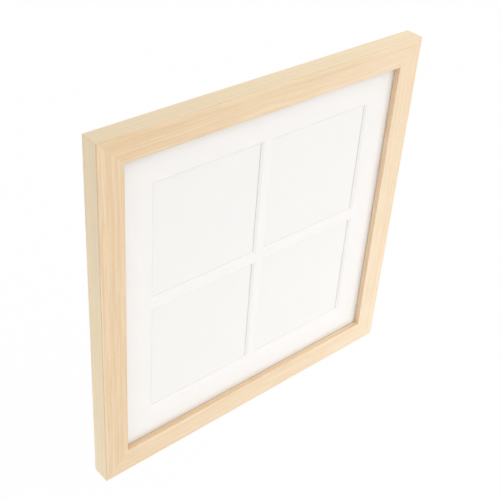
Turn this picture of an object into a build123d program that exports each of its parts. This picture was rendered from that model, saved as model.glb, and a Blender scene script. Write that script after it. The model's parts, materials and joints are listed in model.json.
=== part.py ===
"""Square collage photo frame: a mitred wooden moulding round a glazed mat with four bevelled windows.

X runs to the viewer's right, Y from the front face towards the wall, and Z up. The origin is the
middle of the bottom face, halfway through the moulding's depth. All sizes are in millimetres.

From front to back the rebate holds the glass, the mat, a blank sheet, a filler board and the
backing board. Six turn buttons, screwed to the back of the moulding, keep the boards in. Each
corner is a glued mitre pinned with two V-nails. Two strap hangers with D-rings carry the frame
on the wall, where two bumpers hold its lower edge off the surface.
"""

import math
import os

from build123d import *

# Glazing package
pane_width = 250.0
pane_height = 250.0
pane_play = 1.0  # gap from the package's edge to the wall of the rebate
glass_thickness = 1.2
glass_seam = 0.3  # arris ground off the glass
mat_thickness = 1.8
sheet_thickness = 0.3
filler_thickness = 3.4
board_thickness = 3.0
board_arris = 0.4
board_recess = 0.3  # from the back of the board to the back of the moulding

# Mat
window_width = 93.5  # at the mat's front face
window_height = 93.5
window_gap = 7.5  # bar of mat between two windows
bevel_angle = 45.0

# Moulding
rail_width = 19.4
lip_width = 4.4  # from the wall of the rebate to the lip's edge
lip_depth = 5.0  # thickness of the lip in front of the glass
rail_arris = 0.4

# V-nails
nail_leg = 5.0
nail_thickness = 0.5
nail_height = 7.0
nail_recess = 0.3
nail_clearance = 0.03
nail_place_shares = (0.47, 0.8)  # of the moulding's back land, from its outer corner to the nail's point

# Screws
screw_shank_radius = 1.45
screw_head_radius = 2.8
screw_head_height = 1.7
screw_tip_length = 2.0
screw_recess_length = 3.0
screw_recess_width = 0.8
screw_recess_depth = 1.0
screw_clearance = 0.05
button_screw_length = 10.0  # under the head
hanger_screw_length = 10.5

# Turn buttons
button_thickness = 0.9
button_eye_radius = 4.2
button_tip_radius = 3.0
button_bite = 8.0  # how far the tip reaches over the boards
button_tip_length = 3.2  # turned-up end, where a finger lifts it
button_tip_lift = 1.0
button_bend_radius = 2.0
button_rib_width = 2.2
button_rib_height = 0.35
button_rib_corner = 0.6
button_gap = 0.2  # under the button and under its screw's head
button_hole_clearance = 0.08
button_place_share = 0.25  # of the pane's width, from the middle, on the top and bottom rails

# Strap hangers
hanger_drop = 60.0  # from the frame's top to the ring's pivot
hanger_inset = 10.5  # from the frame's side to the strap's middle
strap_width = 8.0
strap_length = 20.5  # from the ring's pivot to the end of the strap
strap_sheet = 0.7  # one leaf of the folded strap
strap_ramp = 4.0  # from the pivot to where the upper leaf lies on the lower one
strap_hole_clearance = 0.1
hanger_screw_drop = 16.0  # from the ring's pivot to the screw
ring_wire_radius = 1.0
ring_wire_sides = 8  # a round wire, drawn with flats to keep its faces few
ring_pivot_clearance = 0.08
ring_side_clearance = 0.3
ring_corner_radius = 2.0
ring_leg = 2.0
ring_rest_clearance = 0.15  # between the hanging ring and the strap

# Wall bumpers
bumper_radius = 5.0
bumper_thickness = 4.0
bumper_inset = 32.0  # from the frame's side to the bumper's middle

# Sizes that follow from those above
package_thickness = glass_thickness + mat_thickness + sheet_thickness + filler_thickness + board_thickness
rail_depth = lip_depth + package_thickness + board_recess
back_land = rail_width - lip_width
outer_width = pane_width + 2 * pane_play + 2 * back_land
outer_height = pane_height + 2 * pane_play + 2 * back_land
front_y = -rail_depth / 2
back_y = rail_depth / 2
glass_back_y = front_y + lip_depth + glass_thickness
mat_back_y = glass_back_y + mat_thickness
sheet_back_y = mat_back_y + sheet_thickness
filler_back_y = sheet_back_y + filler_thickness
board_back_y = filler_back_y + board_thickness
bevel_run = mat_thickness * math.tan(math.radians(bevel_angle))
knuckle_bore = ring_wire_radius + ring_pivot_clearance
knuckle_radius = knuckle_bore + strap_sheet
strap_thickness = 2 * strap_sheet
pivot_y = back_y + knuckle_radius
pivot_z = outer_height - hanger_drop
hanger_x = outer_width / 2 - hanger_inset
ring_half_width = strap_width / 2 + ring_side_clearance + ring_corner_radius
ring_reach = ring_corner_radius + ring_leg + ring_half_width
ring_rest_lift = strap_thickness + ring_rest_clearance + ring_wire_radius - knuckle_radius
ring_rest_angle = math.degrees(math.asin(ring_rest_lift / ring_reach))

middle = Vector(0, 0, outer_height / 2)
to_wall = Vector(0, 1, 0)

# Each side's direction towards the frame's middle, its distance from the middle and its length
SIDES = {
    "top": (Vector(0, 0, -1), outer_height / 2, outer_width),
    "bottom": (Vector(0, 0, 1), outer_height / 2, outer_width),
    "left": (Vector(1, 0, 0), outer_width / 2, outer_height),
    "right": (Vector(-1, 0, 0), outer_width / 2, outer_height),
}

# Each turn button's side, and how far along it from the middle, in shares of the pane's width
BUTTONS = {
    "top_left": ("top", -button_place_share),
    "top_right": ("top", button_place_share),
    "bottom_left": ("bottom", -button_place_share),
    "bottom_right": ("bottom", button_place_share),
    "left": ("left", 0),
    "right": ("right", 0),
}

HANDS = {"left": -1, "right": 1}


def facing(y):
    """The upright plane at depth y, centred on the frame and facing the viewer."""
    return Plane(origin=middle + to_wall * y, x_dir=(1, 0, 0), z_dir=(0, -1, 0))


def button_pivot(name):
    """The middle of a turn button's eye, on the back of the moulding."""
    side, share = BUTTONS[name]
    inward, half, _ = SIDES[side]
    along = Vector(pane_width * share, 0, 0)
    return middle + to_wall * back_y - inward * (half - back_land / 2) + along


def hanger_pivot(hand):
    """The middle of the D-ring's straight bar."""
    return Vector(HANDS[hand] * hanger_x, pivot_y, pivot_z)


def hanger_screw_seat(hand):
    """Where the hanger's screw enters the back of the moulding."""
    return Vector(HANDS[hand] * hanger_x, back_y, pivot_z - hanger_screw_drop)


def bumper_place(hand):
    """The middle of a bumper's glued face."""
    return Vector(HANDS[hand] * (outer_width / 2 - bumper_inset), back_y, back_land / 2)


def save(part, name):
    """Labels a finished piece and writes its file."""
    part.label = name
    export_step(part, f"parts/{name}.step")


def draw_nails(margin):
    """Draws the outlines of all V-nails, each grown by margin, on a plane that faces the viewer.

    A nail's point lies on the mitre and its legs spread towards the frame's outer corner, one into
    each rail.
    """
    half = nail_thickness / 2 + margin
    leg = nail_leg + margin
    corners = ((-1, -1), (1, -1), (1, 1), (-1, 1))
    for quarter, (across, up) in enumerate(corners):
        corner = Location((across * outer_width / 2, up * outer_height / 2, 0), (0, 0, 90 * quarter))
        with Locations(corner):
            for share in nail_place_shares:
                point = share * back_land
                Polygon(
                    (point + half, point + half),
                    (point - leg, point + half),
                    (point - leg, point - half),
                    (point - half, point - half),
                    (point - half, point - leg),
                    (point + half, point - leg),
                    align=None,
                )


def draw_holes(seats, radius):
    """Draws round holes at points on the back of the moulding, on a plane that faces the viewer."""
    for seat in seats:
        with Locations((seat.X, seat.Z - middle.Z)):
            Circle(radius)


def make_rail(side):
    """One length of moulding, mitred at both ends, with its nail slots and pilot holes."""
    inward, half, run = SIDES[side]
    outer_edge = middle + to_wall * front_y - inward * half
    pilot_radius = screw_shank_radius + screw_clearance
    with BuildPart() as rail:
        with BuildSketch(Plane(origin=outer_edge, x_dir=inward, z_dir=inward.cross(to_wall))) as section:
            with BuildLine():
                Polyline(
                    (0, 0),
                    (rail_width, 0),
                    (rail_width, lip_depth),
                    (back_land, lip_depth),
                    (back_land, rail_depth),
                    (0, rail_depth),
                    close=True,
                )
            make_face()
            front_corners = section.vertices().group_by(Axis.Y)[0]
            outer_back_corner = section.vertices().group_by(Axis.Y)[-1].sort_by(Axis.X)[0]
            fillet(front_corners + [outer_back_corner], rail_arris)
        extrude(amount=run / 2, both=True)
        with BuildSketch(Plane(origin=outer_edge, x_dir=inward.cross(to_wall), z_dir=to_wall)):
            Polygon(
                (-run / 2, 0),
                (run / 2, 0),
                (run / 2 - rail_width, rail_width),
                (rail_width - run / 2, rail_width),
                align=None,
            )
        extrude(amount=rail_depth, mode=Mode.INTERSECT)
        with BuildSketch(facing(back_y)):
            draw_nails(nail_clearance)
        extrude(amount=nail_recess + nail_height + nail_clearance, mode=Mode.SUBTRACT)
        with BuildSketch(facing(back_y)):
            draw_holes([button_pivot(name) for name in BUTTONS], pilot_radius)
        extrude(amount=button_screw_length, mode=Mode.SUBTRACT)
        with BuildSketch(facing(back_y)):
            draw_holes([hanger_screw_seat(hand) for hand in HANDS], pilot_radius)
        extrude(amount=hanger_screw_length, mode=Mode.SUBTRACT)
    return rail.part


def make_nails():
    """The eight V-nails, each half in one rail and half in its neighbour."""
    with BuildPart() as nails:
        with BuildSketch(facing(back_y - nail_recess)):
            draw_nails(0)
        extrude(amount=nail_height)
    return nails.part


def make_glass():
    """The pane, with its edges seamed."""
    with BuildPart() as glass:
        with BuildSketch(facing(glass_back_y)):
            Rectangle(pane_width, pane_height)
        extrude(amount=glass_thickness)
        faces = glass.faces().sort_by(Axis.Y)
        chamfer(faces[0].edges() + faces[-1].edges(), glass_seam)
    return glass.part


def make_mat():
    """The mat, whose windows widen towards the viewer along bevelled cuts."""
    with BuildPart() as mat:
        with BuildSketch(facing(mat_back_y)):
            Rectangle(pane_width, pane_height)
        extrude(amount=mat_thickness)
        with BuildSketch(facing(mat_back_y)):
            with GridLocations(window_width + window_gap, window_height + window_gap, 2, 2):
                Rectangle(window_width - 2 * bevel_run, window_height - 2 * bevel_run)
        extrude(amount=mat_thickness, taper=-bevel_angle, mode=Mode.SUBTRACT)
    return mat.part


def make_sheet():
    """The blank sheet behind the mat."""
    with BuildPart() as sheet:
        with BuildSketch(facing(sheet_back_y)):
            Rectangle(pane_width, pane_height)
        extrude(amount=sheet_thickness)
    return sheet.part


def make_filler():
    """The board that packs the sheet against the mat."""
    with BuildPart() as filler:
        with BuildSketch(facing(filler_back_y)):
            Rectangle(pane_width, pane_height)
        extrude(amount=filler_thickness)
    return filler.part


def make_backing():
    """The backing board, with the arris taken off its outer face."""
    with BuildPart() as backing:
        with BuildSketch(facing(board_back_y)):
            Rectangle(pane_width, pane_height)
        extrude(amount=board_thickness)
        chamfer(backing.faces().sort_by(Axis.Y)[-1].edges(), board_arris)
    return backing.part


def make_button(name):
    """A pressed turn button, its ribbed arm over the boards and its tip turned up."""
    inward = SIDES[BUTTONS[name][0]][0]
    seat = button_pivot(name) + to_wall * button_gap
    reach = back_land / 2 + pane_play + button_bite
    bend = reach - button_tip_length
    side_plane = Plane(origin=seat, x_dir=inward, z_dir=inward.cross(to_wall))
    plan_plane = Plane(origin=seat, x_dir=inward, z_dir=to_wall)
    with BuildPart() as button:
        with BuildSketch(side_plane) as strip:
            Polygon(
                (-button_eye_radius, 0),
                (bend, 0),
                (reach, button_tip_lift),
                (reach, button_tip_lift + button_thickness),
                (bend, button_thickness),
                (-button_eye_radius, button_thickness),
                align=None,
            )
            bend_corners = strip.vertices().filter_by_position(Axis.X, 0, (bend + reach) / 2)
            fillet(bend_corners, button_bend_radius)
        extrude(amount=button_eye_radius, both=True)
        with BuildSketch(plan_plane):
            Circle(button_eye_radius)
            with Locations((reach - button_tip_radius, 0)):
                Circle(button_tip_radius)
            make_hull()
        extrude(amount=button_tip_lift + button_thickness, mode=Mode.INTERSECT)
        with BuildSketch(plan_plane.offset(button_thickness)) as rib:
            with Locations(((button_eye_radius + bend) / 2, 0)):
                Rectangle(bend - button_eye_radius, button_rib_width)
            chamfer(rib.vertices(), button_rib_corner)
        extrude(amount=button_rib_height)
        with Locations(plan_plane):
            Hole(screw_shank_radius + button_hole_clearance)
    return button.part


def make_screw(length):
    """A pan-head screw with a cross recess.

    The underside of its head is at the origin and its tip points towards the viewer.
    """
    with BuildPart() as screw:
        with BuildSketch(Plane.XY):
            with BuildLine():
                Polyline(
                    (0, screw_head_height),
                    (0, -length),
                    (screw_shank_radius, screw_tip_length - length),
                    (screw_shank_radius, 0),
                    (screw_head_radius, 0),
                    (screw_head_radius, screw_head_height),
                    close=True,
                )
            make_face()
        revolve(axis=Axis.Y)
        with BuildSketch(Plane(origin=to_wall * screw_head_height, x_dir=(1, 0, 0), z_dir=(0, -1, 0))):
            Rectangle(screw_recess_length, screw_recess_width)
            Rectangle(screw_recess_width, screw_recess_length)
        extrude(amount=screw_recess_depth, mode=Mode.SUBTRACT)
    return screw.part


def make_screw_set(screw, seats):
    """Copies of one screw, with the undersides of their heads at the seats."""
    with BuildPart() as screws:
        with Locations(*[Location(seat) for seat in seats]):
            add(screw)
    return screws.part


def make_strap(hand):
    """A strip folded round the D-ring's bar, its two leaves held by one screw."""
    pivot = hanger_pivot(hand)
    down = Vector(0, 0, -1)
    end_centre = strap_length - strap_width / 2
    with BuildPart() as strap:
        with BuildSketch(Plane(origin=pivot, x_dir=down, z_dir=down.cross(to_wall))):
            Circle(knuckle_radius)
            Polygon(
                (0, -knuckle_radius),
                (strap_length, -knuckle_radius),
                (strap_length, strap_thickness - knuckle_radius),
                (strap_ramp, strap_thickness - knuckle_radius),
                (0, knuckle_radius),
                align=None,
            )
            Circle(knuckle_bore, mode=Mode.SUBTRACT)
            Polygon(
                (0, -knuckle_bore),
                (strap_ramp, strap_sheet - knuckle_radius),
                (0, knuckle_bore),
                align=None,
                mode=Mode.SUBTRACT,
            )
        extrude(amount=strap_width / 2, both=True)
        with BuildSketch(Plane(origin=pivot - to_wall * knuckle_radius, x_dir=down, z_dir=to_wall)):
            with Locations(((end_centre - knuckle_radius) / 2, 0)):
                Rectangle(end_centre + knuckle_radius, strap_width)
            with Locations((end_centre, 0)):
                Circle(strap_width / 2)
        extrude(amount=2 * knuckle_radius, mode=Mode.INTERSECT)
        with Locations(Plane(origin=hanger_screw_seat(hand), x_dir=down, z_dir=to_wall)):
            Hole(screw_shank_radius + strap_hole_clearance)
    return strap.part


def make_ring(hand):
    """The D-ring as it hangs, its bar in the knuckle and its bow just off the strap."""
    droop = Vector(0, math.sin(math.radians(ring_rest_angle)), -math.cos(math.radians(ring_rest_angle)))
    across = Vector(1, 0, 0)
    half_bar = ring_half_width - ring_corner_radius
    leg_end = ring_corner_radius + ring_leg
    with BuildPart() as ring:
        with BuildLine(Plane(origin=hanger_pivot(hand), x_dir=across, z_dir=across.cross(droop))):
            Line((0, 0), (half_bar, 0))
            JernArc((half_bar, 0), (1, 0), ring_corner_radius, 90)
            Line((ring_half_width, ring_corner_radius), (ring_half_width, leg_end))
            JernArc((ring_half_width, leg_end), (0, 1), ring_half_width, 180)
            Line((-ring_half_width, leg_end), (-ring_half_width, ring_corner_radius))
            JernArc((-ring_half_width, ring_corner_radius), (0, -1), ring_corner_radius, 90)
            Line((-half_bar, 0), (0, 0))
        with BuildSketch(Plane(origin=hanger_pivot(hand), z_dir=across)):
            RegularPolygon(ring_wire_radius, ring_wire_sides)
        sweep()
    return ring.part


def make_bumper(hand):
    """A soft button glued to the back of the bottom rail."""
    with BuildPart() as bumper:
        with BuildSketch(Plane(origin=bumper_place(hand), z_dir=to_wall)):
            Circle(bumper_radius)
        extrude(amount=bumper_thickness)
    return bumper.part


def main():
    os.makedirs("parts", exist_ok=True)
    for side in SIDES:
        save(make_rail(side), f"{side}_rail")
    save(make_nails(), "corner_v_nails")
    save(make_glass(), "glass_pane")
    save(make_mat(), "window_mat")
    save(make_sheet(), "insert_sheet")
    save(make_filler(), "filler_board")
    save(make_backing(), "backing_board")

    for name in BUTTONS:
        save(make_button(name), f"turn_button_{name}")
    head_lift = to_wall * (2 * button_gap + button_thickness)
    button_seats = [button_pivot(name) + head_lift for name in BUTTONS]
    save(make_screw_set(make_screw(button_screw_length), button_seats), "turn_button_screws")

    for hand in HANDS:
        save(make_strap(hand), f"hanger_strap_{hand}")
        save(make_ring(hand), f"hanger_ring_{hand}")
        save(make_bumper(hand), f"wall_bumper_{hand}")
    hanger_seats = [hanger_screw_seat(hand) + to_wall * strap_thickness for hand in HANDS]
    save(make_screw_set(make_screw(hanger_screw_length), hanger_seats), "hanger_screws")


if __name__ == "__main__":
    main()
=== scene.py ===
"""Square collage photo frame in pale wood, finished and lit as a product picture on white."""

import json
import math

import bmesh
import bpy
from bpy.props import FloatProperty, FloatVectorProperty, IntProperty, PointerProperty
from bpy.types import Operator, Panel, PropertyGroup
from mathutils import Matrix, Vector

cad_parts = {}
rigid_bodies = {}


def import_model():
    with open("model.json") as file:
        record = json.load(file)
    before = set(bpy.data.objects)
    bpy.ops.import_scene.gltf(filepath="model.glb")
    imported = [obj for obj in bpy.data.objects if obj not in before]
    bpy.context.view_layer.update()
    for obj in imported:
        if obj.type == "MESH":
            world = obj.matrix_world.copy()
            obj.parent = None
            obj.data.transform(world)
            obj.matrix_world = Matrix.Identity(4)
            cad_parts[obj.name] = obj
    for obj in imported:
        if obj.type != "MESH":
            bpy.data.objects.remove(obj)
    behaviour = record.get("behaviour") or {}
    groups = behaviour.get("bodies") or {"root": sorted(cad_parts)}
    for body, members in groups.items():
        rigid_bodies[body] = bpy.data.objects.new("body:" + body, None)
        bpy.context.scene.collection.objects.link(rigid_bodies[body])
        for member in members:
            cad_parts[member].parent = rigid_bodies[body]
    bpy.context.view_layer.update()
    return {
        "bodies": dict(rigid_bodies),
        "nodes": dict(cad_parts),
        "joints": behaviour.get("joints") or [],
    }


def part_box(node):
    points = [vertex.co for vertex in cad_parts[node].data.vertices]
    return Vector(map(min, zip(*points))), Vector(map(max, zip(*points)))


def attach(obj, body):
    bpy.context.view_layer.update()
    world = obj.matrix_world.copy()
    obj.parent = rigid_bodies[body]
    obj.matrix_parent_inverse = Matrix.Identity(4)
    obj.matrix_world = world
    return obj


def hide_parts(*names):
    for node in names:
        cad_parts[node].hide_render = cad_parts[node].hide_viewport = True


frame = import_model()

bl_info = {
    "name": "Collage Photo Frame",
    "version": (1, 0, 0),
    "blender": (4, 5, 0),
    "location": "3D View > Sidebar > Photo Frame",
    "description": "Finishes the wood, glass, mat and hardware of a square photo frame and sets its studio",
    "category": "Object",
}

MM = 0.001
WHITE = (1.0, 1.0, 1.0)
BLACK = (0.0, 0.0, 0.0)
ROOT = "frame"
HANDS = ("left", "right")

# Thickness of each of a strap's two leaves
STRAP_LEAF = 0.7 * MM

# Where the frame's edges and faces lie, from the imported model
rail_low, rail_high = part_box("left_rail")
half_width = -rail_low.x
half_sight = -rail_high.x
middle_height = (rail_low.z + rail_high.z) / 2
front_y = rail_low.y
back_y = rail_high.y
glass_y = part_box("glass_pane")[0].y

# Each rail's grain direction, the place of its heartwood beside it in metres (across the face, into
# the depth), how deep the tone of its face and of its outer side is at its left or lower end and at
# the other (partly the rail's own tone, partly painted light, deeper to the upper left and paler to
# the lower right), how dark its brown front arris line is, and its place in the board
RAILS = {
    "left_rail": ("Z", (0.034, 0.061), (0.70, 0.67), (0.30, 0.88), 0.52, 0.31),
    "top_rail": ("X", (-0.047, 0.043), (0.90, 0.34), (1.00, 0.10), 0.20, 1.93),
    "right_rail": ("Z", (-0.072, 0.052), (0.12, 0.42), (0.35, 0.50), 0.40, 3.47),
    "bottom_rail": ("X", (0.058, 0.066), (0.62, 0.18), (0.55, 0.35), 0.40, 5.02),
}

# The direction that each broad lamp shines from, and the angle that it fills in the sky
LAMP_SPOTS = {
    "key": (0.0, -1.0, 0.8),
    "top": (0.0, -0.5, 1.0),
    "side": (-0.8, -0.8, 0.8),
    "rim": (-1.0, 0.45, 1.0),
}
LAMP_SPREAD = math.radians(50)


def size(name, description, default):
    """A length in metres that a user may change."""
    return FloatProperty(
        name=name, description=description, default=default, unit="LENGTH", precision=5, min=0
    )


def share(name, description, default, high=1.0, low=0.0):
    """A plain number between low and high."""
    return FloatProperty(name=name, description=description, default=default, min=low, max=high)


def angle(name, description, degrees):
    """An angle, given in degrees and kept in radians."""
    return FloatProperty(name=name, description=description, default=math.radians(degrees), subtype="ANGLE")


def count(name, description, default, low, high):
    """A whole number between low and high."""
    return IntProperty(name=name, description=description, default=default, min=low, max=high)


def colour(name, description, default):
    """A colour in linear light."""
    return FloatVectorProperty(
        name=name, description=description, default=default, subtype="COLOR", size=3, min=0, max=1
    )


class PhotoFrameWood(PropertyGroup):
    """The pale lacquered wood of the moulding."""

    pale: colour("Pale", "Colour of the palest growth", (0.91, 0.745, 0.543))
    deep: colour("Deep", "Colour of the deepest growth", (0.775, 0.56, 0.337))
    side: colour("Side", "Cooler cream of the moulding's outer sides", (0.896, 0.732, 0.497))
    band_pitch: size("Band Pitch", "Spacing of the growth bands", 0.0021)
    fibre_width: size("Fibre Width", "Width of the fine streaks", 0.0007)
    contrast: share("Contrast", "How far the grain swings between pale and deep", 0.86)
    # Arris and Arris Shade give the front arris a thin dark brown line
    arris: colour("Arris", "Brown of the rubbed arris", (0.47, 0.28, 0.125))
    arris_shade: share("Arris Shade", "How far the arris turns to that brown", 0.85)
    # The next two settings paint shade into the wood: the shade inside the lip's recess, and the shadow line
    # where the lip meets the glass
    lip_shade: share("Lip Shade", "How much deeper the inside of the lip is", 0.28)
    seam_shade: share("Seam Shade", "How dark the lip is where it meets the glass", 0.30)
    roughness: share("Roughness", "Roughness of the satin lacquer", 0.5)
    gloss: share("Gloss", "Weight of the clear coat", 0.12)


class PhotoFrameBoards(PropertyGroup):
    """The mat, the sheet behind it and the boards that close the back."""

    mat_face: colour("Mat Face", "Paper on the front of the mat", (0.934, 0.905, 0.889))
    mat_core: colour("Mat Core", "Core that shows in the bevel", (0.935, 0.88, 0.845))
    # Mat Backing is the backing ply, painted grey as the shadow at the foot of the bevel
    mat_edge: colour("Mat Backing", "Backing paper at the foot of the bevel", (0.775, 0.73, 0.71))
    # Foot Shade is painted shadow at the foot of the upright bevels
    foot_shade: share("Foot Shade", "How dark the foot of an upright bevel is", 0.36)
    sheet: colour("Sheet", "Blank sheet behind the windows", (0.904, 0.877, 0.862))
    filler: colour("Filler", "Brown liner of the corrugated filler", (0.50, 0.36, 0.225))
    hardboard: colour("Hardboard", "Pressed fibre of the back", (0.265, 0.155, 0.082))


class PhotoFrameGlass(PropertyGroup):
    """The clear pane."""

    tint: colour("Tint", "Colour of a thick edge of the glass", (0.985, 1.0, 0.992))
    index: share("Refractive Index", "Index of float glass", 1.5, high=2.0, low=1.0)


class PhotoFrameMetal(PropertyGroup):
    """The plated steel of the nails, turn buttons, straps, rings and screws."""

    nail: colour("Nails", "Bare nail steel", (0.33, 0.335, 0.35))
    nickel: colour("Nickel", "Nickel plate of the turn buttons", (0.56, 0.545, 0.52))
    zinc: colour("Zinc", "Bright zinc plate of straps, rings and screws", (0.60, 0.615, 0.64))
    roughness: share("Roughness", "Roughness of the plating", 0.33)
    edge: size("Edge Radius", "Rounding of the pressed edges", 0.00014)


class PhotoFrameScrew(PropertyGroup):
    """One pan-head screw with a cross recess."""

    head_radius: size("Head Radius", "Radius of the pan head", 0.0028)
    head_height: size("Head Height", "Height of the pan head", 0.0017)
    head_round: size("Head Round", "Rounding of the head's rim", 0.0011)
    shank_radius: size("Shank Radius", "Radius of the shank in its pilot hole", 0.00145)
    tip_length: size("Tip Length", "Length of the point", 0.002)
    button_length: size("Button Screw Length", "Length under the head in a turn button", 0.010)
    hanger_length: size("Hanger Screw Length", "Length under the head in a strap", 0.0105)
    recess_span: size("Recess Span", "Width across the cross recess", 0.0031)
    recess_depth: size("Recess Depth", "Depth of the cross recess", 0.0012)
    sides: count("Sides", "Steps round the screw", 36, 12, 96)


class PhotoFrameRing(PropertyGroup):
    """The D-ring of bent wire in each strap."""

    wire_radius: size("Wire Radius", "Radius of the wire", 0.001)
    half_width: size("Half Width", "Half the width between the legs' middles", 0.0063)
    corner: size("Corner", "Bend between the bar and a leg", 0.002)
    leg: size("Leg", "Straight part of a leg", 0.002)
    droop: angle("Droop", "Angle off the vertical as it hangs", 4.31)
    bend_steps: count("Bend Steps", "Steps in each bend of the wire", 14, 4, 48)


class PhotoFrameBumper(PropertyGroup):
    """The soft buttons that keep the frame off the wall."""

    deep: colour("Deep", "Deepest tone of the rubber", (0.50, 0.50, 0.485))
    pale: colour("Pale", "Palest tone of the rubber", (0.63, 0.63, 0.615))
    dust: colour("Dust", "Dust on the rubber", (0.72, 0.71, 0.69))
    edge: size("Edge Radius", "Rounding of the rim", 0.0007)


class PhotoFrameStudio(PropertyGroup):
    """The plain white studio."""

    floor_drop: size("Floor Drop", "Distance from the hanging frame down to the floor", 0.38)
    ambient: share("Ambient", "Strength of the even light from all round", 0.535, 4.0)
    ambient_colour: colour("Ambient Colour", "Colour of the even light", WHITE)
    key: share("Key", "Strength of the broad light from above the camera", 0.49, 10.0)
    top: share("Top", "Strength of the broad light from above", 0.54, 10.0)
    side: share("Side", "Strength of the broad light from the left", 0.29, 10.0)
    rim: share("Rim", "Strength of the light that wraps the left and top sides from behind", 0.51, 10.0)
    fill: share("Fill", "Power of the soft box at the lower right, in watts", 0.95, 100.0)


class PhotoFrameView(PropertyGroup):
    """The photograph's point of view."""

    azimuth: angle("Azimuth", "Turn of the camera to the right of the front", -43.354)
    elevation: angle("Elevation", "Height of the camera", 35.239)
    roll: angle("Roll", "Tilt of the picture", 4.453)
    distance: size("Distance", "From the target to the camera", 0.6921)
    target: FloatVectorProperty(
        name="Target",
        description="Point in the middle of the picture",
        default=(-0.01495, -0.0075, 0.15607),
        subtype="TRANSLATION",
        unit="LENGTH",
        size=3,
    )
    lens: FloatProperty(name="Lens", description="Focal length in millimetres", default=69.801, min=1)


class Signal:
    """One output of a node, on which sums are written as on a plain number."""

    def __init__(self, graph, socket):
        self.graph = graph
        self.socket = socket

    def math(self, operation, *terms, clamp=False):
        """What a Math node makes of the terms."""
        settings = {"operation": operation, "use_clamp": clamp}
        return self.graph.add("ShaderNodeMath", settings, dict(enumerate(terms)))["Value"]

    def __add__(self, other):
        return self.math("ADD", self, other)

    def __radd__(self, other):
        return self.math("ADD", other, self)

    def __sub__(self, other):
        return self.math("SUBTRACT", self, other)

    def __rsub__(self, other):
        return self.math("SUBTRACT", other, self)

    def __mul__(self, other):
        return self.math("MULTIPLY", self, other)

    def __rmul__(self, other):
        return self.math("MULTIPLY", other, self)

    def __truediv__(self, other):
        return self.math("DIVIDE", self, other)

    def __rtruediv__(self, other):
        return self.math("DIVIDE", other, self)

    def __pow__(self, other):
        return self.math("POWER", self, other)

    def __neg__(self):
        return self.math("MULTIPLY", self, -1)

    def __abs__(self):
        return self.math("ABSOLUTE", self)

    def sine(self):
        """The sine of the number, in radians."""
        return self.math("SINE", self)

    def least(self, other):
        """The smaller of two numbers."""
        return self.math("MINIMUM", self, other)

    def most(self, other):
        """The larger of two numbers."""
        return self.math("MAXIMUM", self, other)

    def held(self):
        """The same number, kept between none and one."""
        return self.math("ADD", self, 0, clamp=True)

    def ramp(self, start, end):
        """Rises smoothly from none at start to one at end."""
        settings = {"interpolation_type": "SMOOTHSTEP", "clamp": True}
        inputs = {"Value": self, "From Min": start, "From Max": end}
        return self.graph.add("ShaderNodeMapRange", settings, inputs)["Result"]


class Graph:
    """A node tree, filled by one method that adds any node."""

    def __init__(self, tree):
        self.tree = tree

    def add(self, kind, settings=None, inputs=None):
        """Adds a node, sets it up, fills its sockets with values or links, and gives its outputs by name."""
        node = self.tree.nodes.new(kind)
        for name, value in (settings or {}).items():
            if name == "stops":
                self.set_stops(node.color_ramp, value)
            elif name == "choices":
                for _ in range(len(node.index_switch_items), value):
                    node.index_switch_items.new()
            else:
                setattr(node, name, value)
        for key, value in (inputs or {}).items():
            socket = node.inputs[key] if isinstance(key, int) else self.open_socket(node, key)
            for item in value if isinstance(value, list) else [value]:
                if isinstance(item, Signal):
                    self.tree.links.new(item.socket, socket)
                else:
                    socket.default_value = item
        return {socket.name: Signal(self, socket) for socket in node.outputs if socket.enabled}

    def open_socket(self, node, name):
        """The input of that name that the node's settings leave in use."""
        return next(socket for socket in node.inputs if socket.enabled and socket.name == name)

    def set_stops(self, ramp, stops):
        """Sets a colour ramp's stops from pairs of a place and a colour."""
        while len(ramp.elements) < len(stops):
            ramp.elements.new(1.0)
        for element, (place, tone) in zip(ramp.elements, stops):
            element.position = place
            element.color = rgba(tone)

    def vector(self, x, y, z):
        """A vector from its three numbers."""
        return self.add("ShaderNodeCombineXYZ", None, {"X": x, "Y": y, "Z": z})["Vector"]

    def mix_shaders(self, factor, first, second):
        """Mixes two shaders, where a factor of one is all second."""
        return self.add("ShaderNodeMixShader", None, {0: factor, 1: first, 2: second})["Shader"]

    def seen(self):
        """One for a ray from the camera, off a glossy face or through glass, and none for the rest."""
        path = self.add("ShaderNodeLightPath")
        return path["Is Camera Ray"].most(path["Is Glossy Ray"]).most(path["Is Transmission Ray"])


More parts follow.
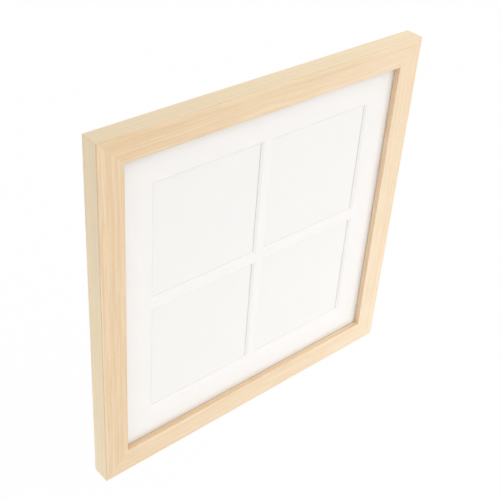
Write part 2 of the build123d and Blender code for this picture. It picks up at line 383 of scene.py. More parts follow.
class Finish(Graph):
    """A procedural material on Object coordinates."""

    def __init__(self, name):
        self.material = bpy.data.materials.new(name)
        self.material.use_nodes = True
        self.spot = None
        super().__init__(self.material.node_tree)
        self.tree.nodes.clear()

    def place(self):
        """The three Object coordinates, in metres."""
        if self.spot is None:
            source = self.add("ShaderNodeTexCoord")["Object"]
            parts = self.add("ShaderNodeSeparateXYZ", None, {"Vector": source})
            self.spot = (parts["X"], parts["Y"], parts["Z"])
        return self.spot

    def noise(self, x, y, z, detail=2.0, roughness=0.5, distortion=0.0):
        """Soft noise about one half, with features one unit wide."""
        inputs = {
            "Vector": self.vector(x, y, z),
            "Scale": 1.0,
            "Detail": detail,
            "Roughness": roughness,
            "Distortion": distortion,
        }
        return self.add("ShaderNodeTexNoise", None, inputs)["Fac"]

    def mottle(self, rate, **settings):
        """Noise that is alike in all directions, with about this many features to the metre."""
        x, y, z = self.place()
        return self.noise(x * rate, y * rate, z * rate, **settings)

    def bands(self, along, detail, roughness=0.5):
        """Soft noise that changes along one number only."""
        inputs = {"W": along, "Scale": 1.0, "Detail": detail, "Roughness": roughness}
        return self.add("ShaderNodeTexNoise", {"noise_dimensions": "1D"}, inputs)["Fac"]

    def mix(self, factor, first, second, blend="MIX"):
        """Mixes two colours, where a factor of one is all second."""
        settings = {"data_type": "RGBA", "blend_type": blend}
        inputs = {"Factor": factor}
        for name, tone in (("A", first), ("B", second)):
            inputs[name] = tone if isinstance(tone, Signal) else rgba(tone)
        return self.add("ShaderNodeMix", settings, inputs)["Result"]

    def dim(self, tone, amount):
        """Darkens a colour by a varying amount, where one is black."""
        return self.mix(amount, tone, BLACK)

    def bump(self, height, distance, strength):
        """The surface's normal, with a height that stands distance metres proud."""
        inputs = {"Strength": strength, "Distance": distance, "Height": height}
        return self.add("ShaderNodeBump", None, inputs)["Normal"]

    def shader(self, inputs):
        """The principled shader with these inputs."""
        return self.add("ShaderNodeBsdfPrincipled", None, inputs)["BSDF"]

    def surface(self, shader):
        """Closes the material with its shader."""
        self.add("ShaderNodeOutputMaterial", None, {"Surface": shader})
        return self.material

    def principled(self, inputs):
        """Closes the material with a principled shader alone."""
        return self.surface(self.shader(inputs))


def rgba(tone):
    """A colour with its opacity."""
    return (*tone, 1.0)


def toned(tone, factor):
    """A colour made paler or deeper by a factor, no part of it over one."""
    return [min(1.0, factor * part) for part in tone]


def swings(*parts):
    """Adds up soft noises, each taken about its middle and times its weight."""
    middle = 0.5
    first, *others = [(noise - middle) * weight for noise, weight in parts]
    return sum(others, first)


class PieceTree(Graph):
    """A Geometry Nodes tree with named inputs for the sizes of a piece."""

    def __init__(self, name, sizes, counts):
        super().__init__(bpy.data.node_groups.new(name, "GeometryNodeTree"))
        interface = self.tree.interface
        interface.new_socket("Places", in_out="INPUT", socket_type="NodeSocketGeometry")
        interface.new_socket("Piece", in_out="OUTPUT", socket_type="NodeSocketGeometry")
        kinds = {
            **dict.fromkeys(sizes, "NodeSocketFloat"),
            **dict.fromkeys(counts, "NodeSocketInt"),
            "Finish": "NodeSocketMaterial",
        }
        self.identifiers = {
            label: interface.new_socket(label, in_out="INPUT", socket_type=kind).identifier
            for label, kind in kinds.items()
        }
        self.given = self.add("NodeGroupInput")

    def by_index(self, kind, values):
        """One value for each point of a curve, in their order."""
        index = self.add("GeometryNodeInputIndex")["Index"]
        settings = {"data_type": kind, "choices": len(values)}
        choices = {str(place): value for place, value in enumerate(values)}
        return self.add("GeometryNodeIndexSwitch", settings, {"Index": index, **choices})["Output"]

    def outline(self, corners, rounds, steps):
        """A poly curve through corners in the XY plane, each rounded by its own radius."""
        line = self.add("GeometryNodeCurvePrimitiveLine")["Curve"]
        inputs = {"Curve": line, "Count": len(corners)}
        line = self.add("GeometryNodeResampleCurve", {"mode": "COUNT"}, inputs)["Curve"]
        spots = self.by_index("VECTOR", [self.vector(x, y, 0.0) for x, y in corners])
        line = self.add("GeometryNodeSetPosition", None, {"Geometry": line, "Position": spots})["Geometry"]
        return self.rounded(line, rounds, steps)

    def rounded(self, curve, rounds, steps):
        """Rounds the corners of a poly curve, each by its own radius."""
        radii = self.by_index("FLOAT", rounds)
        inputs = {"Curve": curve, "Count": steps, "Radius": radii, "Limit Radius": True}
        return self.add("GeometryNodeFilletCurve", {"mode": "POLY"}, inputs)["Curve"]

    def circle(self, sides, radius):
        """A circle in the XY plane, as a poly curve."""
        inputs = {"Resolution": sides, "Radius": radius}
        return self.add("GeometryNodeCurvePrimitiveCircle", {"mode": "RADIUS"}, inputs)["Curve"]

    def sweep(self, profile, path):
        """The mesh that a profile makes along a path."""
        inputs = {"Curve": path, "Profile Curve": profile}
        return self.add("GeometryNodeCurveToMesh", None, inputs)["Mesh"]

    def moved(self, shape, move=None, turn=None, scale=None):
        """A shape moved, turned or scaled."""
        inputs = {"Geometry": shape, "Translation": move, "Rotation": turn, "Scale": scale}
        inputs = {name: value for name, value in inputs.items() if value is not None}
        return self.add("GeometryNodeTransform", None, inputs)["Geometry"]

    def close(self, shape):
        """Ends the tree with real geometry in its finish."""
        shape = self.add("GeometryNodeRealizeInstances", None, {"Geometry": shape})["Geometry"]
        inputs = {"Geometry": shape, "Material": self.given["Finish"]}
        shape = self.add("GeometryNodeSetMaterial", None, inputs)["Geometry"]
        self.add("NodeGroupOutput", None, {"Piece": shape})


def add_object(name, data):
    """Puts a new object with this data into the scene."""
    piece = bpy.data.objects.new(name, data)
    bpy.context.scene.collection.objects.link(piece)
    return piece


def joints_of(kind):
    """The joints of the moving pieces whose names start with kind."""
    return [joint for joint in frame["joints"] if joint["child"].startswith(kind)]


def grow(name, piece_tree, places, sizes, values):
    """Runs a piece's tree on its places, with its sizes and other values, and keeps the plain mesh."""
    seats = bpy.data.meshes.new(f"{name}_places")
    seats.from_pydata(places, [], [])
    piece = add_object(name, seats)
    modifier = piece.modifiers.new(piece_tree.tree.name, "NODES")
    modifier.node_group = piece_tree.tree
    for label, identifier in piece_tree.identifiers.items():
        key = label.lower().replace(" ", "_")
        modifier[identifier] = values[label] if label in values else getattr(sizes, key)
    keep_result(piece)
    tidy_mesh(piece.data)
    bpy.data.meshes.remove(seats)
    return piece


def keep_result(piece):
    """Turns what a piece's modifiers make into its plain mesh."""
    depsgraph = bpy.context.evaluated_depsgraph_get()
    result = bpy.data.meshes.new_from_object(piece.evaluated_get(depsgraph), depsgraph=depsgraph)
    piece.modifiers.clear()
    piece.data = result
    result.name = piece.name


def tidy_mesh(mesh, flat=0.0):
    """Merges a mesh's doubles, joins faces within the flat angle and points them all outwards."""
    merge_distance = 1e-7
    shape = bmesh.new()
    shape.from_mesh(mesh)
    bmesh.ops.remove_doubles(shape, verts=shape.verts, dist=merge_distance)
    bmesh.ops.dissolve_degenerate(shape, edges=shape.edges, dist=merge_distance)
    if flat:
        bmesh.ops.dissolve_limit(shape, angle_limit=flat, verts=shape.verts, edges=shape.edges)
    bmesh.ops.recalc_face_normals(shape, faces=shape.faces)
    shape.to_mesh(mesh)
    shape.free()
    soften_shading(mesh)


def soften_shading(mesh):
    """Shades a mesh smooth, with creases where it turns sharply."""
    crease = math.radians(32)
    mesh.shade_smooth()
    mesh.set_sharp_from_angle(angle=crease)


def soften_node(node, body, edge, finish, slot):
    """Stands a copy of a CAD node with rounded edges in for it."""
    flat = math.radians(0.4)
    sharp = math.radians(30)
    edge_steps = 2
    mesh = frame["nodes"][node].data.copy()
    for name in ("custom_normal", "sharp_edge", "sharp_face"):
        if name in mesh.attributes:
            mesh.attributes.remove(mesh.attributes[name])
    tidy_mesh(mesh, flat)
    piece = add_object(f"{node}_pressed", mesh)
    bevel = piece.modifiers.new("Edge", "BEVEL")
    bevel.limit_method = "ANGLE"
    bevel.angle_limit = sharp
    bevel.width = edge
    bevel.segments = edge_steps
    bevel.use_clamp_overlap = True
    keep_result(piece)
    soften_shading(piece.data)
    set_finish(piece, finish)
    fit_piece(piece, body, slot, node)


def fit_piece(piece, body, slot, *nodes):
    """Makes a new piece ride on its body in the place of its CAD nodes."""
    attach(piece, body)
    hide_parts(*nodes)


def set_finish(piece, finish):
    """Gives a whole piece one material."""
    piece.data.materials.clear()
    piece.data.materials.append(finish)


def finish_node(node, finish):
    """Gives a CAD node its material and leaves its mesh alone."""
    for material_slot in frame["nodes"][node].material_slots:
        material_slot.material = finish


def growth_bands(wood, board, pitch, spot, heart):
    """Broad and fine growth bands, on wavering circles round the heart of the tree."""
    along, across, deep = spot
    heart_across, heart_deep = heart
    drift_along, drift_across = 7, 45
    drift_reach = 1.8 * pitch
    fine_pitch = 0.36 * pitch
    broad_place, fine_place = board * 10, board * 30
    drift = wood.noise(along * drift_along + board, across * drift_across, deep * drift_across, detail=1.5)
    reach_across = across - heart_across
    reach_deep = deep - heart_deep
    reach = (reach_across * reach_across + reach_deep * reach_deep) ** 0.5 + drift * drift_reach
    broad = wood.bands(reach / pitch + broad_place, detail=2.5, roughness=0.6)
    fine = wood.bands(reach / fine_pitch + fine_place, detail=1.0)
    return broad, fine


def wood_streaks(wood, board, fibre_width, spot):
    """Fine fibres, broad rays, cloudy tones and short flecks, which all run along the grain."""
    along, across, deep = spot
    fibre_length = 28 * MM
    ray_length, ray_width = 4 * fibre_length, 2.6 * MM
    cloud_along, cloud_across = 11, 60
    fleck_length, fleck_width = 3.4 * MM, 0.22 * MM
    fleck_level = (0.66, 0.80)
    ray_place, cloud_place = board * 7, board * 3
    fibre = wood.noise(along / fibre_length + board, across / fibre_width, deep / fibre_width)
    ray = wood.noise(along / ray_length, across / ray_width + ray_place, deep / ray_width, detail=1.0)
    cloud = wood.noise(along * cloud_along + cloud_place, across * cloud_across, deep * cloud_across)
    fleck = wood.noise(along / fleck_length, across / fleck_width, deep / fleck_width + board, detail=0.0)
    return fibre, ray, cloud, fleck.ramp(*fleck_level)


def make_wood(rail, look):
    """Fine straight-grained wood under a satin lacquer, cut to one rail."""
    grain, (heart_across, heart_deep), face_tone_and_shade, side_tone_and_shade, arris_dark, board = RAILS[rail]
    wood = Finish(f"{rail}_wood")
    x, y, z = wood.place()
    height = z - middle_height
    along, across = (x, height) if grain == "X" else (height, x)

    # The heart of the tree lies beside the rail, measured from its outer edge
    outer_edge = half_width if rail in ("top_rail", "right_rail") else -half_width
    heart = (outer_edge + heart_across, heart_deep)
    growth, line = growth_bands(wood, board, look.band_pitch, (along, across, y), heart)
    fibre, ray, cloud, fleck = wood_streaks(wood, board, look.fibre_width, (along, across, y))

    def graded(ends):
        """Runs evenly from the first value at the rail's left or lower end to the second."""
        low, high = ends
        return along / (2 * half_width) * (high - low) + (low + high) / 2

    # The face's tone is graded along each rail, partly the rail's own tone and partly painted light: deeper
    # toward the upper left, paler toward the lower right
    swing = swings((growth, 0.9), (line, 0.9), (fibre, 1.4), (ray, 0.6), (cloud, 0.4))
    tone = wood.mix((swing * look.contrast + graded(face_tone_and_shade)).held(), look.pale, look.deep)

    # The outer sides are a cooler cream than the front, graded along each rail in the same way, partly with
    # painted light
    side_turn = (half_width - 0.45 * MM, half_width - 0.2 * MM)
    side_contrast = 0.9 * look.contrast
    outer = abs(x).most(abs(height))
    side_swing = (swing * side_contrast + graded(side_tone_and_shade)).held()
    side_tone = wood.mix(side_swing, toned(look.side, 1.07), toned(look.side, 0.9))
    tone = wood.mix(outer.ramp(*side_turn), tone, side_tone)

    # Painted shade: the inside of the lip is darkened as by the shade of its recess, and a painted shadow
    # line darkens it most where it meets the glass
    lip_turn = (half_sight + 0.1 * MM, half_sight + 0.5 * MM)
    lip_depth = (0.3 * MM, 0.7 * MM)
    glass_shadow_depth = (-0.8 * MM, -0.3 * MM)
    lip = (1 - outer.ramp(*lip_turn)) * (y - front_y).ramp(*lip_depth)
    tone = wood.mix(lip * look.lip_shade, tone, wood.mix(1.0, tone, look.deep, blend="MULTIPLY"))
    seam = lip * (y - glass_y).ramp(*glass_shadow_depth)
    tone = wood.dim(tone, seam * look.seam_shade)

    # A thin dark line along the front arris, and where two mitred ends meet on the corner
    arris_turn = (half_width - 0.42 * MM, half_width - 0.28 * MM)
    arris_depth = (0.35 * MM, 0.85 * MM)
    corner_turn = (half_width - 0.5 * MM, half_width - 0.1 * MM)
    mitre_line_share = 0.4
    arris = outer.ramp(*arris_turn) * (1 - (y - front_y).ramp(*arris_depth))
    corner = abs(x).least(abs(height)).ramp(*corner_turn)
    darkened = (arris + corner * mitre_line_share).held() * (arris_dark * look.arris_shade)
    tone = wood.mix(darkened, tone, look.arris)

    fleck_shade = 0.12
    grain_height = fibre * 0.7 + growth * 0.3 - fleck
    return wood.principled(
        {
            "Base Color": wood.dim(tone, fleck * fleck_shade),
            "Roughness": swings((fibre, 0.16)) + look.roughness,
            "Coat Weight": look.gloss,
            "Coat Roughness": 0.35,
            "Normal": wood.bump(grain_height, 0.02 * MM, 0.6),
        }
    )


def make_paper(look):
    """Matt white paper with a faint mottle of fibres."""
    grain = 0.45 * MM
    fleck = 0.025
    paper = Finish("white_paper")
    x, y, z = paper.place()
    fibre = paper.noise(x / grain, y / grain, z / grain, detail=3.0, roughness=0.6)
    cloud = paper.mottle(18, detail=1.0)
    amount = (swings((fibre, fleck), (cloud, fleck)) + fleck / 2).held()
    return paper.principled(
        {
            "Base Color": paper.dim(look.sheet, amount),
            "Roughness": 0.9,
            "Specular IOR Level": 0.25,
            "Normal": paper.bump(fibre, 0.012 * MM, 0.5),
        }
    )


def make_mat_board(look, low_y, high_y):
    """Mat board in its layers: face paper, pale core and backing paper, whose grey paints the shadow at the
    foot of the bevel.
    """
    grain = 0.5 * MM
    board = Finish("mat_board")
    x, y, z = board.place()
    depth = (y - low_y) / (high_y - low_y)

    # Where each layer starts and ends, in shares of the thickness
    layer_shares = ((0.0, 0.11, look.mat_face), (0.16, 0.80, look.mat_core), (0.88, 1.0, look.mat_edge))
    stops = [(place, tone) for start, end, tone in layer_shares for place in (start, end)]
    layers = board.add("ShaderNodeValToRGB", {"stops": stops}, {"Fac": depth})["Color"]
    fibre = board.noise(x / grain, y / grain, z / grain, detail=3.0, roughness=0.6)
    cloud = board.mottle(14, detail=1.0)
    amount = (swings((fibre, 0.03), (cloud, 0.02)) + 0.012).held()

    # Painted shadow: the upright bevels are darkened at their foot as if shaded there, in patches, more in
    # some places than in others
    foot_depth = (0.78, 0.92)
    upright_turn = (0.2, 0.6)
    shadow_patch_level = (0.25, 0.6)
    faintest_shadow = 0.4
    facing = board.add("ShaderNodeNewGeometry")["True Normal"]
    sideways = abs(board.add("ShaderNodeSeparateXYZ", None, {"Vector": facing})["X"])
    shadow_patches = board.mottle(30, detail=1.0).ramp(*shadow_patch_level) * (1 - faintest_shadow) + faintest_shadow
    foot = depth.ramp(*foot_depth) * sideways.ramp(*upright_turn) * shadow_patches * look.foot_shade
    return board.principled(
        {
            "Base Color": board.dim(board.dim(layers, amount), foot),
            "Roughness": 0.92,
            "Specular IOR Level": 0.2,
            "Normal": board.bump(fibre, 0.015 * MM, 0.5),
        }
    )


def make_hardboard(look):
    """Pressed brown fibre, mottled and flecked."""
    shive_level = (0.62, 0.74)
    shive_share = 0.55
    board = Finish("hardboard")
    x, y, z = board.place()
    warp = board.mottle(240)
    fibre = board.noise(x * 900 + warp * 3, y * 900, z * 500 + warp * 4, detail=4.0, roughness=0.7)
    shive = board.noise(x * 1900 + warp * 6, y * 1900, z * 620, detail=1.0)
    cloud = board.mottle(26, detail=3.0)
    pale, dark, straw = (toned(look.hardboard, factor) for factor in (1.55, 0.62, 2.3))
    tone = board.mix((swings((fibre, 1.5), (cloud, 0.7)) + 0.5).held(), dark, pale)
    return board.principled(
        {
            "Base Color": board.mix(shive.ramp(*shive_level) * shive_share, tone, straw),
            "Roughness": swings((fibre, 0.25)) + 0.62,
            "Normal": board.bump(fibre + shive * 0.4, 0.05 * MM, 0.6),
        }
    )


def make_filler(look):
    """Brown kraft liner with the shadow of its flutes."""
    flute_pitch = 3.6 * MM
    flute_shade = 0.05
    board = Finish("corrugated_board")
    x, y, z = board.place()
    ridge = (x * (2 * math.pi / flute_pitch)).sine()
    fibre = board.noise(x * 1500, y * 1500, z * 400, detail=3.0)
    amount = (ridge * flute_shade + swings((fibre, 0.3)) + 0.1).held()
    return board.principled(
        {
            "Base Color": board.dim(look.filler, amount),
            "Roughness": 0.88,
            "Normal": board.bump(ridge + fibre * 0.3, 0.04 * MM, 0.6),
        }
    )


def make_glass(look):
    """Clear float glass that lamps and soft light pass straight through."""
    glass = Finish("clear_glass")
    x, y, z = glass.place()
    smear = glass.noise(x * 30, y * 30, z * 12, detail=3.0)
    pane = glass.shader(
        {
            "Base Color": rgba(look.tint),
            "Roughness": smear * 0.006,
            "IOR": look.index,
            "Transmission Weight": 1.0,
        }
    )
    open_air = glass.add("ShaderNodeBsdfTransparent", None, {"Color": rgba(WHITE)})["BSDF"]
    path = glass.add("ShaderNodeLightPath")
    lit = path["Is Shadow Ray"].most(path["Is Diffuse Ray"])
    return glass.surface(glass.mix_shaders(lit, pane, open_air))


def make_metal(name, tone, look, roughness=None, scratch_axis="Z", seam=None):
    """Plated steel with a mottled skin, rolling lines and, where seam gives its place and width, a seam."""
    metal = Finish(name)
    x, y, z = metal.place()
    rough = look.roughness if roughness is None else roughness
    long_way, short_way = (z, x) if scratch_axis == "Z" else (x, z)
    lines = metal.noise(long_way * 160, y * 3200, short_way * 5200)
    spangle = metal.mottle(900, distortion=0.6)
    stain = metal.mottle(170)
    shade = (swings((spangle, 0.35), (lines, 0.3), (stain, 0.35)) + 0.16).held()
    dull = metal.dim(tone, shade)
    if seam is not None:
        seam_shade = 0.75
        seam_y, seam_width = seam
        gap = 1 - abs(y - seam_y).ramp(seam_width / 2, seam_width)
        dull = metal.dim(dull, gap * seam_shade)
    return metal.principled(
        {
            "Base Color": dull,
            "Metallic": 1.0,
            "Roughness": (swings((lines, 0.25), (spangle, 0.2)) + rough).held(),
            "Normal": metal.bump(lines + spangle * 0.5, 0.006 * MM, 0.5),
        }
    )


def make_rubber(look):
    """Pale grey rubber with a fine bloom and specks of dust."""
    dust_level = (0.62, 0.72)
    dust_share = 0.4
    rubber = Finish("bumper_rubber")
    bloom = rubber.mottle(700, detail=3.0)
    dust = rubber.mottle(2600, detail=1.0)
    tone = rubber.mix((swings((bloom, 1.4)) + 0.5).held(), look.deep, look.pale)
    return rubber.principled(
        {
            "Base Color": rubber.mix(dust.ramp(*dust_level) * dust_share, tone, look.dust),
            "Roughness": swings((bloom, 0.2)) + 0.62,
            "Normal": rubber.bump(bloom, 0.02 * MM, 0.4),
        }
    )


def make_screw_tree():
    """The tree that turns a pan-head screw, cuts its cross recess and sets copies in their seats."""
    turned = ("Head Radius", "Head Height", "Head Round", "Shank Radius", "Length", "Tip Length")
    recess = ("Recess Span", "Recess Depth")
    tree = PieceTree("Pan Head Screws", turned + recess, ("Sides", "Seed"))
    given = tree.given

    # The profile is swept round a circle whose radius is taken off it again, heights counted downwards
    turn_radius = given["Head Radius"] * 2
    head = given["Head Radius"] - turn_radius
    shank = given["Shank Radius"] - turn_radius
    head_top = -given["Head Height"]
    length = given["Length"]
    corners = [
        (-turn_radius, head_top),
        (head, head_top),
        (head, 0.0),
        (shank, 0.0),
        (shank, length - given["Tip Length"]),
        (-turn_radius, length),
    ]
    rounds = [0.0, given["Head Round"], 0.0, 0.0, 0.0, 0.0]
    rim_steps = 6
    merge_distance = 1e-6
    profile = tree.outline(corners, rounds, rim_steps)
    body = tree.sweep(profile, tree.circle(given["Sides"], turn_radius))
    inputs = {"Geometry": body, "Distance": merge_distance}
    body = tree.add("GeometryNodeMergeByDistance", None, inputs)["Geometry"]

    # Two crossed blades cut the recess, narrower at its bottom and a little proud of the head
    blade_share = 0.28
    floor_share = 0.5
    sunk_share = 0.98
    half_span = given["Recess Span"] * (0.5 * math.sqrt(2))
    inputs = {
        "Vertices": 4,
        "Radius Top": half_span,
        "Radius Bottom": half_span * floor_share,
        "Depth": given["Recess Depth"],
    }
    cone = tree.add("GeometryNodeMeshCone", {"fill_type": "NGON"}, inputs)["Mesh"]
    square = tree.moved(cone, turn=(0.0, 0.0, math.radians(45)))
    sunk = tree.vector(0.0, 0.0, given["Head Height"] - given["Recess Depth"] * sunk_share)
    blades = [
        tree.moved(tree.moved(square, scale=scale), move=sunk)
        for scale in ((1.0, blade_share, 1.0), (blade_share, 1.0, 1.0))
    ]
    settings = {"operation": "DIFFERENCE", "solver": "EXACT"}
    screw = tree.add("GeometryNodeMeshBoolean", settings, {"Mesh 1": body, "Mesh 2": blades})["Mesh"]

    # The head points to the wall, and no two recesses line up
    screw = tree.moved(screw, turn=(math.radians(-90), 0.0, 0.0))
    inputs = {"Min": (0.0, 0.0, 0.0), "Max": (0.0, math.radians(90), 0.0), "Seed": given["Seed"]}
    spin = tree.add("FunctionNodeRandomValue", {"data_type": "FLOAT_VECTOR"}, inputs)["Value"]
    rotation = tree.add("FunctionNodeEulerToRotation", None, {"Euler": spin})["Rotation"]
    points = tree.add("GeometryNodeMeshToPoints", {"mode": "VERTICES"}, {"Mesh": given["Places"]})["Points"]
    inputs = {"Points": points, "Instance": screw, "Rotation": rotation}
    tree.close(tree.add("GeometryNodeInstanceOnPoints", None, inputs)["Instances"])
    return tree


def make_ring_tree():
    """The tree that bends a wire into a D and hangs it from its straight bar."""
    sizes = ("Wire Radius", "Half Width", "Corner", "Leg", "Droop")
    tree = PieceTree("Wire D-Ring", sizes, ("Bend Steps",))
    given = tree.given
    wire_sides = 20
    bow_share = 0.999
    half, corner = given["Half Width"], given["Corner"]
    reach = corner + given["Leg"] + half
    corners = [(-half, 0.0), (half, 0.0), (half, reach), (-half, reach)]
    bow = half * bow_share
    path = tree.outline(corners, [0.0] * len(corners), 1)
    path = tree.add("GeometryNodeSetSplineCyclic", None, {"Geometry": path, "Cyclic": True})["Geometry"]
    path = tree.rounded(path, [corner, corner, bow, bow], given["Bend Steps"])
    wire = tree.sweep(tree.circle(wire_sides, given["Wire Radius"]), path)

    # The D is drawn upwards from its bar, so it is turned down to hang
    wire = tree.moved(wire, turn=tree.vector(given["Droop"] - math.radians(90), 0.0, 0.0))
    inputs = {"Points": given["Places"], "Instance": wire}
    tree.close(tree.add("GeometryNodeInstanceOnPoints", None, inputs)["Instances"])
    return tree


class FinishMoulding(Operator):
    """Gives each mitred rail its own cut of pale lacquered wood"""

    bl_idname = "photo_frame.moulding"
    bl_label = "Finish Moulding"

    def execute(self, context):
        for rail in RAILS:
            finish_node(rail, make_wood(rail, context.scene.photo_frame_wood))
        return {"FINISHED"}


class FinishNails(Operator):
    """Gives the V-nails in the mitres their bare steel"""

    bl_idname = "photo_frame.corner_nails"
    bl_label = "Finish Corner Nails"

    def execute(self, context):
        look = context.scene.photo_frame_metal
        finish_node("corner_v_nails", make_metal("nail_steel", look.nail, look, roughness=0.45))
        return {"FINISHED"}


class FinishGlass(Operator):
    """Gives the pane its clear glass"""

    bl_idname = "photo_frame.glazing"
    bl_label = "Finish Glass"

    def execute(self, context):
        finish_node("glass_pane", make_glass(context.scene.photo_frame_glass))
        return {"FINISHED"}


class FinishBoards(Operator):
    """Gives the window mat, the sheet, the filler and the backing board their materials"""

    bl_idname = "photo_frame.boards"
    bl_label = "Finish Mat and Boards"

    def execute(self, context):
        look = context.scene.photo_frame_boards
        low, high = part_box("window_mat")
        finish_node("window_mat", make_mat_board(look, low.y, high.y))
        finish_node("insert_sheet", make_paper(look))
        finish_node("filler_board", make_filler(look))
        finish_node("backing_board", make_hardboard(look))
        return {"FINISHED"}


class MakeTurnButtons(Operator):
    """Rounds the pressed edges of the six turn buttons and plates them"""

    bl_idname = "photo_frame.turn_buttons"
    bl_label = "Make Turn Buttons"

    def execute(self, context):
        look = context.scene.photo_frame_metal
        upright = make_metal("button_nickel_upright", look.nickel, look, scratch_axis="Z")
        level = make_metal("button_nickel_level", look.nickel, look, scratch_axis="X")
        for node in sorted(name for name in frame["bodies"] if name.startswith("turn_button")):
            finish = level if node in ("turn_button_left", "turn_button_right") else upright
            soften_node(node, node, look.edge, finish, "button_steel")
        return {"FINISHED"}


class MakeStraps(Operator):
    """Rounds the folded strap hangers' edges and shows the seam between their leaves"""

    bl_idname = "photo_frame.hanger_straps"
    bl_label = "Make Strap Hangers"

    def execute(self, context):
        look = context.scene.photo_frame_metal
        seam_width = 0.09 * MM
        seam = (back_y + STRAP_LEAF, seam_width)
        finish = make_metal("strap_zinc", look.zinc, look, seam=seam)
        for hand in HANDS:
            soften_node(f"hanger_strap_{hand}", ROOT, look.edge, finish, "zinc_steel")
        return {"FINISHED"}


class MakeScrews(Operator):
    """Turns the screws of the turn buttons and of the strap hangers"""

    bl_idname = "photo_frame.screws"
    bl_label = "Make Screws"

    def execute(self, context):
        look = context.scene.photo_frame_metal
        sizes = context.scene.photo_frame_screw
        tree = make_screw_tree()
        finish = make_metal("screw_zinc", look.zinc, look, roughness=0.28)
        for node, seats, length, seed in (
            ("turn_button_screws", self.button_seats(), sizes.button_length, 4),
            ("hanger_screws", self.hanger_seats(), sizes.hanger_length, 11),
        ):
            values = {"Length": length, "Seed": seed, "Finish": finish}
            piece = grow(f"{node}_turned", tree, seats, sizes, values)
            fit_piece(piece, ROOT, "zinc_steel", node)
        return {"FINISHED"}

    def button_seats(self):
        """Where the undersides of the turn buttons' screw heads sit, behind the buttons' joints."""
        lift = 1.3 * MM
        return [Vector(joint["pos_m"]) + Vector((0, lift, 0)) for joint in joints_of("turn_button")]

    def hanger_seats(self):
        """Where the undersides of the straps' screw heads sit, on both leaves and below the rings."""
        lift = 2 * STRAP_LEAF
        drop = 16 * MM
        spots = [joint["pos_m"] for joint in joints_of("hanger_ring")]
        return [Vector((x, back_y + lift, z - drop)) for x, _, z in spots]


class MakeRings(Operator):
    """Bends the wire D-rings and hangs each from its strap"""

    bl_idname = "photo_frame.hanger_rings"
    bl_label = "Make D-Rings"

    def execute(self, context):
        look = context.scene.photo_frame_metal
        sizes = context.scene.photo_frame_ring
        tree = make_ring_tree()
        finish = make_metal("ring_zinc", look.zinc, look, roughness=0.22)
        for joint in joints_of("hanger_ring"):
            node = joint["child"]
            piece = grow(f"{node}_wire", tree, [Vector(joint["pos_m"])], sizes, {"Finish": finish})
            fit_piece(piece, node, "zinc_steel", node)
        return {"FINISHED"}


class MakeBumpers(Operator):
    """Rounds the soft wall bumpers and gives them their rubber"""

    bl_idname = "photo_frame.wall_bumpers"
    bl_label = "Make Wall Bumpers"

    def execute(self, context):
        look = context.scene.photo_frame_bumper
        finish = make_rubber(look)
        for hand in HANDS:
            soften_node(f"wall_bumper_{hand}", ROOT, look.edge, finish, "bumper_rubber")
        return {"FINISHED"}


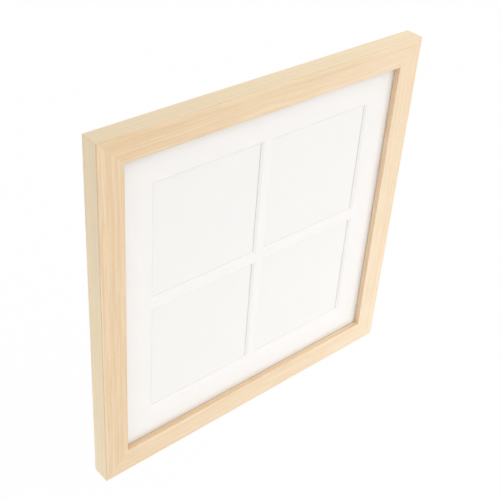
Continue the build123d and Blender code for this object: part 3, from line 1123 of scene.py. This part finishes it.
class SetStage(Operator):
    """Sets the white floor, the soft light and the photograph's camera"""

    bl_idname = "photo_frame.stage"
    bl_label = "Set Stage"

    def execute(self, context):
        studio = context.scene.photo_frame_studio
        self.lay_floor(studio)
        self.light_world(context.scene, studio)
        self.hang_lamps(studio)
        self.place_camera(context.scene, context.scene.photo_frame_view)
        context.scene.view_settings.view_transform = "Standard"
        return {"FINISHED"}

    def lay_floor(self, studio):
        """A matt floor that looks white and keeps a little of the frame's shadow."""
        reach = 6.0
        paint_tone = 0.98
        glow_share = 0.95
        height = -studio.floor_drop
        mesh = bpy.data.meshes.new("studio_floor")
        corners = [(-reach, -reach), (reach, -reach), (reach, reach), (-reach, reach)]
        mesh.from_pydata([(x, y, height) for x, y in corners], [], [(0, 1, 2, 3)])
        floor = add_object("studio_floor", mesh)
        paint = Finish("studio_white")
        matt = paint.add("ShaderNodeBsdfDiffuse", None, {"Color": rgba([paint_tone] * 3)})["BSDF"]
        glow = paint.add("ShaderNodeEmission", None, {"Color": rgba(WHITE), "Strength": 1.0})["Emission"]
        set_finish(floor, paint.surface(paint.mix_shaders(paint.seen() * glow_share, matt, glow)))

    def light_world(self, scene, studio):
        """Even light from all round, from a sky that looks plain white."""
        scene.world = bpy.data.worlds.new("studio_air")
        scene.world.use_nodes = True
        air = Graph(scene.world.node_tree)
        air.tree.nodes.clear()
        even, white = (
            air.add("ShaderNodeBackground", None, {"Color": rgba(tone), "Strength": strength})["Background"]
            for tone, strength in ((studio.ambient_colour, studio.ambient), (WHITE, 1.0))
        )
        air.add("ShaderNodeOutputWorld", None, {"Surface": air.mix_shaders(air.seen(), even, white)})

    def hang_lamps(self, studio):
        """The broad lamps, and a soft box at the lower right of the frame."""
        for name, spot in LAMP_SPOTS.items():
            broad = bpy.data.lights.new(f"broad_{name}", "SUN")
            broad.energy = getattr(studio, name)
            broad.angle = LAMP_SPREAD
            self.aim(add_object(f"broad_{name}", broad), Vector(spot), Vector((0, 0, 0)))

        fill_spot = Vector((0.55, -0.6, -0.05))
        fill_target = Vector((0.08, 0, 0.08))
        fill_width = 0.6
        fill = bpy.data.lights.new("soft_box", "AREA")
        fill.energy = studio.fill
        fill.shape = "DISK"
        fill.size = fill_width
        self.aim(add_object("soft_box", fill), fill_spot, fill_target)

    def aim(self, lamp, spot, target):
        """Puts a lamp in its spot, turned to its target and unseen in metal and glass."""
        lamp.location = spot
        lamp.rotation_euler = (target - spot).to_track_quat("-Z", "Y").to_euler()
        lamp.visible_glossy = False
        lamp.visible_transmission = False

    def place_camera(self, scene, view):
        """The photograph's camera, turned to its target and tilted by its roll."""
        level_reach = math.cos(view.elevation)
        across, ahead = math.sin(view.azimuth) * level_reach, math.cos(view.azimuth) * level_reach
        back = Vector((across, -ahead, math.sin(view.elevation)))
        level = (-back).cross(Vector((0, 0, 1))).normalized()
        upright = level.cross(-back)
        right = math.cos(view.roll) * level + math.sin(view.roll) * upright
        top = math.cos(view.roll) * upright - math.sin(view.roll) * level
        camera = bpy.data.cameras.new("photo_camera")
        camera.lens = view.lens
        camera.sensor_fit = "HORIZONTAL"
        camera.sensor_width = 36.0
        camera.clip_start = 0.01
        holder = add_object("photo_camera", camera)
        turn = Matrix((right, top, back)).transposed().to_4x4()
        holder.matrix_world = Matrix.Translation(Vector(view.target) + back * view.distance) @ turn
        scene.camera = holder


class PhotoFramePanel(Panel):
    """Lists the photo frame's sizes and the steps that make it"""

    bl_idname = "VIEW3D_PT_photo_frame"
    bl_label = "Collage Photo Frame"
    bl_space_type = "VIEW_3D"
    bl_region_type = "UI"
    bl_category = "Photo Frame"

    def draw(self, context):
        for title, (name, _, steps) in SECTIONS.items():
            box = self.layout.box()
            box.label(text=title)
            settings = getattr(context.scene, name)
            for key in settings.__annotations__:
                box.prop(settings, key)
            for step in steps:
                box.operator(step.bl_idname)


# Each section of the panel, with the name and class of its settings and its operators
SECTIONS = {
    "Wood": ("photo_frame_wood", PhotoFrameWood, (FinishMoulding,)),
    "Metal": ("photo_frame_metal", PhotoFrameMetal, (FinishNails, MakeTurnButtons, MakeStraps)),
    "Glass": ("photo_frame_glass", PhotoFrameGlass, (FinishGlass,)),
    "Mat and Boards": ("photo_frame_boards", PhotoFrameBoards, (FinishBoards,)),
    "Screws": ("photo_frame_screw", PhotoFrameScrew, (MakeScrews,)),
    "D-Rings": ("photo_frame_ring", PhotoFrameRing, (MakeRings,)),
    "Bumpers": ("photo_frame_bumper", PhotoFrameBumper, (MakeBumpers,)),
    "Studio": ("photo_frame_studio", PhotoFrameStudio, (SetStage,)),
    "View": ("photo_frame_view", PhotoFrameView, ()),
}
GROUPS = {name: group for name, group, _ in SECTIONS.values()}
STEPS = [step for _, _, steps in SECTIONS.values() for step in steps]
CLASSES = (*GROUPS.values(), *STEPS, PhotoFramePanel)


def register():
    """Makes the classes known to Blender and gives the scene its settings."""
    for item in CLASSES:
        bpy.utils.register_class(item)
    for name, group in GROUPS.items():
        setattr(bpy.types.Scene, name, PointerProperty(type=group))


def unregister():
    """Takes the settings and the classes away again."""
    for name in GROUPS:
        delattr(bpy.types.Scene, name)
    for item in reversed(CLASSES):
        bpy.utils.unregister_class(item)


def main():
    """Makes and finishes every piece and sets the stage."""
    register()
    bpy.ops.photo_frame.moulding()
    bpy.ops.photo_frame.corner_nails()
    bpy.ops.photo_frame.turn_buttons()
    bpy.ops.photo_frame.hanger_straps()
    bpy.ops.photo_frame.glazing()
    bpy.ops.photo_frame.boards()
    bpy.ops.photo_frame.screws()
    bpy.ops.photo_frame.hanger_rings()
    bpy.ops.photo_frame.wall_bumpers()
    bpy.ops.photo_frame.stage()


if __name__ == "__main__":
    main()
